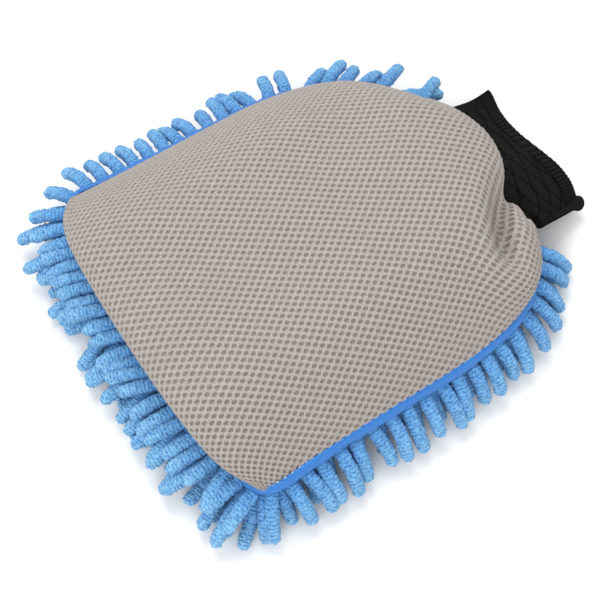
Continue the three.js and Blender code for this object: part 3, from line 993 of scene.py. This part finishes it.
def field_noodles(rng):
    """Noodles that stand under the palm, crushed between the backing cloth and the ground."""
    noodles = []
    for y in ROW_YS.values():
        reach = {side: float(half_width(y, side)) - FIELD_INSET for side in (-1.0, 1.0)}
        if y < FRONT_Y + 5 or y > WRIST_Y - 6:
            continue
        count = int((reach[1.0] + reach[-1.0]) / FIELD_PITCH)
        for number in range(count + 1):
            x = -reach[-1.0] + number * (reach[1.0] + reach[-1.0]) / count
            root = (x + rng.uniform(-1, 1), y + rng.uniform(-1.2, 1.2), TUFT_Z)
            heading = rng.uniform(0, 360)
            length = FIELD_LENGTH + rng.uniform(-2, 2)
            noodles.append(noodle_path(root, heading, length, 85, 10, rng.gauss(0, 25), 8))
    return noodles


def noodle_tree():
    """A tube of pile round each curve: rounded at its tip, crinkled and tufted all over."""
    tree, n, given, out = geometry_tree(
        "chenille_noodles",
        [
            ("Radius", FLOAT, NOODLE_RADIUS * MM),
            ("Ring step", FLOAT, 0.0006),
            ("Sides", "NodeSocketInt", 20),
            ("Taper", FLOAT, 0.1),
            ("Ridge pitch", FLOAT, CRINKLE_PITCH),
            ("Ridge depth", FLOAT, 0.0002),
            ("Tufts per metre", FLOAT, 260.0),
            ("Tuft depth", FLOAT, 0.0010),
            ("Curls per metre", FLOAT, 720.0),
            ("Curl depth", FLOAT, 0.0018),
            ("Pile", MATERIAL, None),
        ],
    )
    by_length = {"mode": "LENGTH"}
    line = chain(n, given["Geometry"], "GeometryNodeResampleCurve", by_length, Length=given["Ring step"])
    place = n.add("GeometryNodeSplineParameter").outputs
    whole = n.add("GeometryNodeSplineLength").outputs["Length"]

    def rounded(distance, reach, least):
        left = n.math("SUBTRACT", 1.0, n.math("DIVIDE", distance, reach, clamp=True))
        round_off = n.math("SQRT", n.math("SUBTRACT", 1.0, n.math("MULTIPLY", left, left)))
        return n.math("MAXIMUM", round_off, least)

    tip_left = n.math("SUBTRACT", whole, place["Length"])
    tip = rounded(tip_left, n.math("MULTIPLY", given["Radius"], 1.05), 0.12)
    root = rounded(n.math("ADD", place["Length"], 0.001), given["Radius"], 0.5)
    taper = n.math("MULTIPLY", given["Taper"], n.math("MULTIPLY", place["Factor"], place["Factor"]))
    fat = n.math("MULTIPLY", n.math("MULTIPLY", tip, root), n.math("SUBTRACT", 1.0, taper))
    store = {"data_type": "FLOAT", "domain": "POINT"}
    # along also carries the painted shade at the roots and the painted light at the tips.
    for name, value in (("along", place["Factor"]), ("run", place["Length"])):
        line = chain(n, line, "GeometryNodeStoreNamedAttribute", store, Name=name, Value=value)
    round_bar = {"Resolution": given["Sides"], "Radius": given["Radius"]}
    circle = n.wired("GeometryNodeCurvePrimitiveCircle", **round_bar)[0]
    tube = chain(n, line, "GeometryNodeCurveToMesh", Profile_Curve=circle, Scale=fat, Fill_Caps=True)
    run = n.wired("GeometryNodeInputNamedAttribute", {"data_type": "FLOAT"}, Name="run")
    where = n.add("GeometryNodeInputPosition").outputs[0]
    tufts = n.math("SUBTRACT", n.noise(where, given["Tufts per metre"], 1.0, 0.5), 0.5)
    curls = n.math("SUBTRACT", n.noise(where, given["Curls per metre"], 1.0, 0.5), 0.5)
    turns = n.math("DIVIDE", n.math("MULTIPLY", run[0], TAU), given["Ridge pitch"])
    ridges = n.math("SINE", n.math("MULTIPLY_ADD", tufts, 11.0, turns))
    rise = n.math("MULTIPLY", tufts, given["Tuft depth"])
    rise = n.math("MULTIPLY_ADD", curls, given["Curl depth"], rise)
    rise = n.math("MULTIPLY_ADD", ridges, given["Ridge depth"], rise)
    outward = n.add("GeometryNodeInputNormal").outputs[0]
    push = chain(n, outward, "ShaderNodeVectorMath", {"operation": "SCALE"}, Scale=rise)
    pushed = chain(n, tube, "GeometryNodeSetPosition", Offset=push)
    # The pile's rise, stored as pile for the painted shade in the folds and the painted light on the tufts.
    fold_shade_level = n.spread(rise, -0.0004, 0.0004)
    marked = chain(n, pushed, "GeometryNodeStoreNamedAttribute", store, Name="pile", Value=fold_shade_level)
    finish_tree(n, chain(n, marked, "GeometryNodeSetShadeSmooth"), given["Pile"], out)
    return tree


def joined(parts):
    """One object out of one or more, of which the first is kept."""
    for part in bpy.context.selected_objects:
        part.select_set(False)
    for part in parts:
        part.select_set(True)
    bpy.context.view_layer.objects.active = parts[0]
    if len(parts) > 1:
        bpy.ops.object.join()
    return parts[0]


def owner(path):
    """The CAD node that a noodle belongs to, by where it is tufted and where it lies."""
    root, tip = path[0], path[-1]
    if root[1] < FRONT_Y + 16 and tip[1] < FRONT_Y - 4:
        return "chenille_fringe_front"
    if root[1] > WRIST_Y - 16 and tip[1] > WRIST_Y + 4:
        return "chenille_fringe_wrist_near" if root[0] > 0 else "chenille_fringe_wrist_far"
    return min(ROWS, key=lambda name: abs(ROW_YS[name] - root[1]))


NOODLE_SEED = 41


def noodles():
    """Grows every noodle and joins those of one CAD node into one piece."""
    rng = random.Random(NOODLE_SEED)
    tree = noodle_tree()
    tufted = ("chenille_row", "chenille_fringe")
    homes = {name: ([], []) for name in frame["nodes"] if name.startswith(tufted)}
    for kind, paths in enumerate((edge_noodles(rng), field_noodles(rng))):
        for path in paths:
            homes[owner(path)][kind].append(path)
    for node, (edge, field) in homes.items():
        coarse = {"Ring_step": 0.0036, "Sides": 7, "Ridge_depth": 0.0}
        kinds = (("_edge", edge, {}), ("_field", field, coarse))
        parts = [grown(paths, tree, node + end, Pile=CHENILLE, **more) for end, paths, more in kinds if paths]
        piece = joined(parts)
        piece.name = node.replace("chenille", "noodle")
        dress(piece, node)


# ---- cuff ----

CUFF_LENGTH = 46.0
CUFF_INSIDE = 8.0  # how much of the cuff lies inside the wrist opening
CUFF_WALL = 1.6
CUFF_GIRTH = 178.0
RIB_BAND = 10.0  # the ribbed hem at the mouth
ROOT_HALF_HEIGHT = 6.8
MOUTH_HALF_HEIGHT = 4.4
FAR_SIDE = 36.5  # from the hinge's middle to the cuff's far side, where it leaves the mitt
FAR_FLARE = 9.0  # how far that side widens towards the mouth
NEAR_SIDE = 44.5
NEAR_SPREAD = 5.5  # how far the near side widens just outside the mitt, and narrows from there
NEAR_TAPER = 6.0
# The mouth's wavy edge, as x and the distance from the hinge.
MOUTH_STOPS = (
    (-45, 53.5),
    (-36, 49.5),
    (-27, 44.5),
    (-16, 41.5),
    (-4, 41.2),
    (8, 44.2),
    (20, 47.6),
    (32, 47.8),
    (46, 42.5),
)


def cuff_line(distance):
    """The cuff's middle plane: y, z and downward pitch at a distance out from the hinge."""
    stops = np.linspace(-CUFF_INSIDE, 60, 137)
    pitch = np.radians(22 + 7 * np.sin(np.clip(stops / CUFF_LENGTH, 0, 1) * math.pi)) * smooth(-8, 4, stops)
    step = stops[1] - stops[0]
    ys = np.cumsum(np.cos(pitch)) * step
    zs = -np.cumsum(np.sin(pitch)) * step
    root = np.searchsorted(stops, 0)
    y = np.interp(distance, stops, ys - ys[root]) + HINGE[1]
    z = np.interp(distance, stops, zs - zs[root]) + HINGE[2]
    return y, z, np.interp(distance, stops, pitch)


def mouth_distance(x):
    """Distance from the hinge to the mouth's edge at x, with the stops smoothed together."""
    places, lengths = zip(*MOUTH_STOPS)
    fine = np.linspace(places[0], places[-1], 90)
    rough = np.interp(fine, places, lengths)
    kernel = np.ones(9) / 9
    soft = np.convolve(np.pad(rough, 4, mode="edge"), kernel, mode="valid")
    return np.interp(x, fine, soft)


def cuff_relief(around, out, mouth):
    """Height of the knit's ribs and pressed lines, in millimetres."""
    band = smooth(RIB_BAND + 1.2, RIB_BAND - 0.4, mouth - out)
    ribs = 0.3 * np.cos(around * TAU / 1.8) * (0.75 + 0.25 * np.cos(out * TAU / 1.7))
    fine = 0.1 * np.cos(around * TAU / 1.45)
    sway = 7.5 * np.abs((around / 9) % 2 - 1) + 0.8 * np.sin(around / 3.1)
    lines = [np.abs((out + sign * sway + shift) % 11 - 5.5) for sign, shift in ((1, 0.0), (-1, 3.6))]
    pressed = sum(-0.3 * np.exp(-((line / 0.55) ** 2)) for line in lines)
    hem = -0.35 * np.exp(-(((mouth - out - RIB_BAND) / 0.5) ** 2))
    return band * ribs + (1 - band) * (fine + pressed) + hem


def cuff_layer(turns, shares, inset):
    """Points of the cuff's wall, their place on the knit, and the relief at each."""
    turn, share = np.meshgrid(turns, shares)
    cosine, sine = np.cos(turn), np.sin(turn)
    spread = np.sign(cosine) * np.abs(cosine) ** 0.82
    rise = np.sign(sine) * np.abs(sine) ** 0.9
    out_share = np.clip(share, 0, 1)
    near = NEAR_SIDE + NEAR_SPREAD * smooth(0.0, 0.14, share) - NEAR_TAPER * np.clip((share - 0.1) / 0.9, 0, 1)
    far = FAR_SIDE + FAR_FLARE * out_share**1.9
    x = HINGE[0] - 0.5 + np.where(spread > 0, near - inset, far - inset) * spread
    mouth = mouth_distance(x)
    out = np.where(share < 0, share * CUFF_INSIDE, share * mouth)
    height = ROOT_HALF_HEIGHT + (MOUTH_HALF_HEIGHT - ROOT_HALF_HEIGHT) * smooth(0.0, 0.95, out_share)
    y, z, pitch = cuff_line(out)
    wave = 1.1 * np.sin(x / 15 + 0.6) * smooth(0.3, 1, out_share)
    lift = rise * (height - inset) + wave * (rise > 0)
    around = turn / TAU * CUFF_GIRTH
    relief = cuff_relief(around, out, mouth) if inset == 0 else np.zeros_like(out)
    lift = lift + relief * np.sign(rise) * np.abs(sine) ** 0.3
    points = np.stack([x + relief * cosine * 0.4, y + lift * np.sin(pitch), z + lift * np.cos(pitch)], -1)
    return points, np.stack([around, out], -1), relief


def cuff():
    """The knit cuff: an outer and an inner wall, joined at the mouth and inside the wrist."""
    turns = np.linspace(0, TAU, 280, endpoint=False)
    outer_shares = np.linspace(-1, 1, 84)
    inner_shares = np.linspace(1, -1, 30)
    layers = [cuff_layer(turns, outer_shares, 0.0), cuff_layer(turns, inner_shares, CUFF_WALL)]
    points, uv, relief = (np.concatenate([layer[k] for layer in layers]) for k in range(3))
    points[..., 2] = np.maximum(points[..., 2], 0.5)
    rows, columns = points.shape[:2]
    faces = grid_faces(rows, columns, close_rows=True, close_columns=True)
    # relief shapes the knit and also sets its painted shade in the grooves.
    values = {"relief": relief.ravel()}
    piece = mesh_object("knit_cuff", points.reshape(-1, 3), faces, RIB_KNIT, values, uv.reshape(-1, 2))
    point_out(piece)
    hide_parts("wrist_cuff")
    bend(piece)


def bend(piece):
    """Bakes the piece's placement into its mesh."""
    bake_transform(piece)


ROLL_INSET = 2.2  # how far the rolled seam's middle lies inside the cuff's near side
ROLL_RADII = (2.8, 3.3)  # across and up
ROLL_KNOB = 3.2  # how far it runs on past the mouth


def side_seam():
    """The cuff's rolled side seam, which ends in a small knob past the mouth."""
    shares = np.linspace(-0.6, 1.0, 70)
    middle = cuff_layer(np.array([0.0]), shares, ROLL_INSET)[0][:, 0]
    ahead = (middle[-1] - middle[-2]) / np.linalg.norm(middle[-1] - middle[-2])
    path = np.concatenate([middle, middle[-1] + ahead * np.linspace(0.5, ROLL_KNOB, 7)[:, None]])
    tangents = np.gradient(path, axis=0)
    tangents /= np.linalg.norm(tangents, axis=1)[:, None]
    sides = np.tile([1.0, 0.0, 0.0], (len(path), 1))
    ups = np.cross(sides, tangents)
    angles = np.arange(16) * TAU / 16
    section = np.stack([np.cos(angles), np.sin(angles)], 1) * ROLL_RADII
    to_end = np.linspace(0, 1, len(path))
    end_round = np.sqrt(np.clip(1 - smooth(0.93, 1.0, to_end) ** 2, 0.02, 1))
    shapes = end_round * (0.6 + 0.78 * smooth(0.82, 0.94, to_end))
    shapes = shapes * (1 + 0.035 * np.sin(np.arange(len(path)) * 2.4))
    roll = swept("cuff_seam_roll", path, sides, ups, section, RIB_KNIT, shapes)
    # An even, middling relief: the roll takes almost none of the knit's painted groove shade.
    relief = roll.data.attributes.new("relief", "FLOAT", "POINT")
    relief.data.foreach_set("value", np.full(len(roll.data.vertices), 0.1, np.float32))
    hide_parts("cuff_side_seam")
    bend(roll)


WRIST_TAPE_REACH = 45.5  # half of the wrist opening's width
# The wrist tape's section, as (out from the opening, towards the cuff).
WRIST_TAPE_SECTION = [(-0.9, -6.4), (0.5, -6.6), (0.9, -5.4), (0.9, 1.2), (0.5, 2.4), (-0.9, 2.2)]


def wrist_tape():
    """The tape that binds the wrist opening round the cuff's root."""
    angles = np.linspace(0, TAU, 121)[:-1]
    spread = np.sign(np.cos(angles)) * np.abs(np.cos(angles)) ** 0.8
    x = HINGE[0] + WRIST_TAPE_REACH * spread
    z = np.where(np.sin(angles) > 0, SEAM_Z + 1.2 + 7.4 * np.sin(angles), SEAM_Z - 1.0 + 2.5 * np.sin(angles))
    path = np.column_stack([x, WRIST_Y - 3.4 - 1.1 * notch(x) * (np.sin(angles) > 0), z])
    outward = np.column_stack([np.cos(angles), np.zeros(len(x)), np.sin(angles)])
    section = np.array(WRIST_TAPE_SECTION)
    points = path[:, None] + outward[:, None] * section[:, :1] + np.array([0.0, 1.0, 0.0]) * section[:, 1:]
    rows, columns = points.shape[:2]
    faces = grid_faces(rows, columns, close_rows=True, close_columns=True)
    run = np.stack(np.broadcast_arrays(np.arange(rows)[:, None] * 1.7, np.arange(columns)[None] * 1.6), -1)
    piece = mesh_object("wrist_tape", points.reshape(-1, 3), faces, BINDING_CLOTH, uv_mm=run.reshape(-1, 2))
    point_out(piece)
    dress(piece, "wrist_seam_tape")


# ---- studio ----


def area_light(name, place, size, power):
    """A soft round lamp that points at the mitt."""
    data = bpy.data.lights.new(name, "AREA")
    data.shape = "DISK"
    data.size = size
    data.energy = power
    light = placed(name, data)
    light.location = place
    light.rotation_euler = (-Vector(place)).to_track_quat("-Z", "Y").to_euler()


FLOOR_HALF = 6.0  # metres
SKY_STRENGTH = 0.87


def studio():
    """A pale floor under a white sky, with a key lamp and a fill lamp."""
    points = np.array([(-1, -1, 0), (1, -1, 0), (1, 1, 0), (-1, 1, 0)]) * FLOOR_HALF / MM
    floor = mesh_object("floor", points, [(0, 1, 2, 3)], plain_floor())
    world = bpy.data.worlds.new("studio")
    world.use_nodes = True
    sky = world.node_tree.nodes["Background"].inputs
    sky["Color"].default_value = (1, 1, 1, 1)
    sky["Strength"].default_value = SKY_STRENGTH
    bpy.context.scene.world = world
    area_light("key", (-0.9, 0.25, 1.5), 1.1, 15)
    area_light("fill", (1.1, -1.1, 1.2), 1.6, 16.5)


CAMERA = {"azimuth": 56.8, "elevation": 62.5, "distance": 0.584, "lens": 71.05}
CAMERA_TARGET = (0.0228, -0.0345, 0.026)


def camera():
    """Looks down on the mitt from its near fingertip corner."""
    data = bpy.data.cameras.new("camera")
    data.lens = CAMERA["lens"]
    data.sensor_width = 36
    data.clip_start = 0.01
    thing = placed("camera", data)
    turn, rise = math.radians(CAMERA["azimuth"]), math.radians(CAMERA["elevation"])
    back = Vector((math.sin(turn) * math.cos(rise), -math.cos(turn) * math.cos(rise), math.sin(rise)))
    thing.location = Vector(CAMERA_TARGET) + back * CAMERA["distance"]
    thing.rotation_euler = (-back).to_track_quat("-Z", "Y").to_euler()
    bpy.context.scene.camera = thing


bpy.context.scene.view_settings.view_transform = "Standard"
camera()
studio()
mesh_face()
sponge = under_layer("sponge_core", "sponge_pad", SPONGE_FOAM, 7.0, 1.8, 5.0)
lining = under_layer("pocket_lining", "lining_upper", LINING_CLOTH, 10.0, 7.2, 0.9)
flat_layer("backing_cloth", "chenille_backing", BACKING_CLOTH, 0.6)
flat_layer("palm_lining", "lining_lower", LINING_CLOTH, 1.2)
binding()
stitches()
noodles()
cuff()
side_seam()
wrist_tape()
